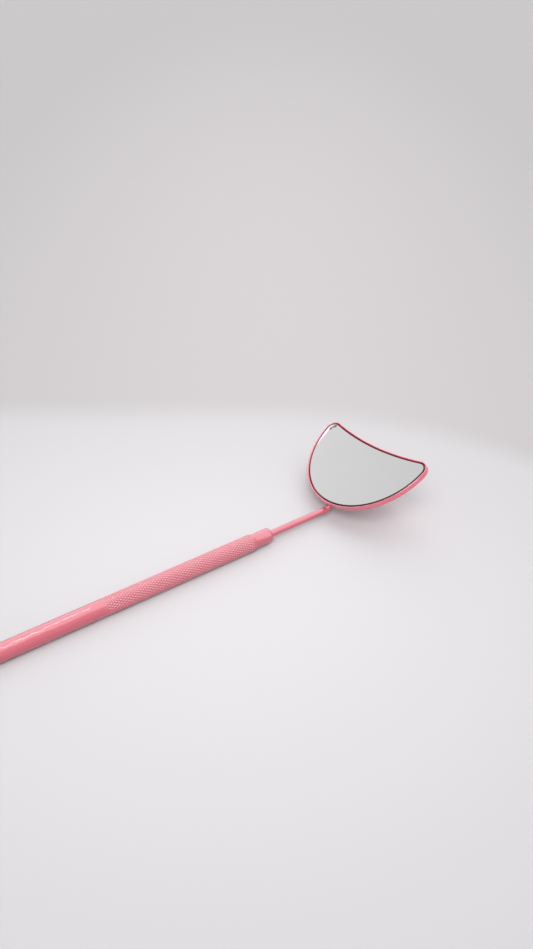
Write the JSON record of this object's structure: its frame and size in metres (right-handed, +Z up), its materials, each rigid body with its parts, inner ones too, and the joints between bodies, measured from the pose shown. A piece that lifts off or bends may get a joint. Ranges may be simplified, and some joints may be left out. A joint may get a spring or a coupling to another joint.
{
  "type": "mouth mirror",
  "caption": "Half-moon glass mirror in a thin enamelled metal pan, on a bent wire stem that screws into a slim round handle with a knurled grip.",
  "frame": {"origin": "centre of the handle's flat rear end face, on the handle's axis", "axes": "+X along the handle to the head, +Z up from the surface it lies on, which is 3 mm below the origin; the mirror looks up and back along the handle, with the head turned 10 degrees about +X so that its +Y horn is the lower one"},
  "size_m": [0.1703, 0.0528, 0.0247],
  "materials": {
    "handle_enamel": "gloss",
    "stem_enamel": "gloss",
    "pan_enamel": "gloss",
    "bare_steel": "satin",
    "adhesive": "matte",
    "silvered_glass": "polished"
  },
  "bodies": {
    "handle": {"handle_tube": "handle_enamel", "nose_socket": "handle_enamel", "end_plug": "handle_enamel"},
    "thread": {"threaded_stud": "bare_steel"},
    "head": {"stem": "stem_enamel", "mirror_cup": "pan_enamel", "bond_pad": "adhesive", "mirror_glass": "silvered_glass"}
  },
  "joints": [
    {"name": "thread_travel", "type": "slide", "parent": "handle", "child": "thread", "axis": [1, 0, 0], "range_m": [0, 0.0036]},
    {"name": "head_unscrew", "type": "hinge", "parent": "thread", "child": "head", "pos_m": [0.12, 0, 0], "axis": [1, 0, 0], "range_deg": [0, 2880]}
  ],
  "couplings": [
    {"joint": "thread_travel", "follows": "head_unscrew", "m_per_rad": 0.00007162}
  ]
}
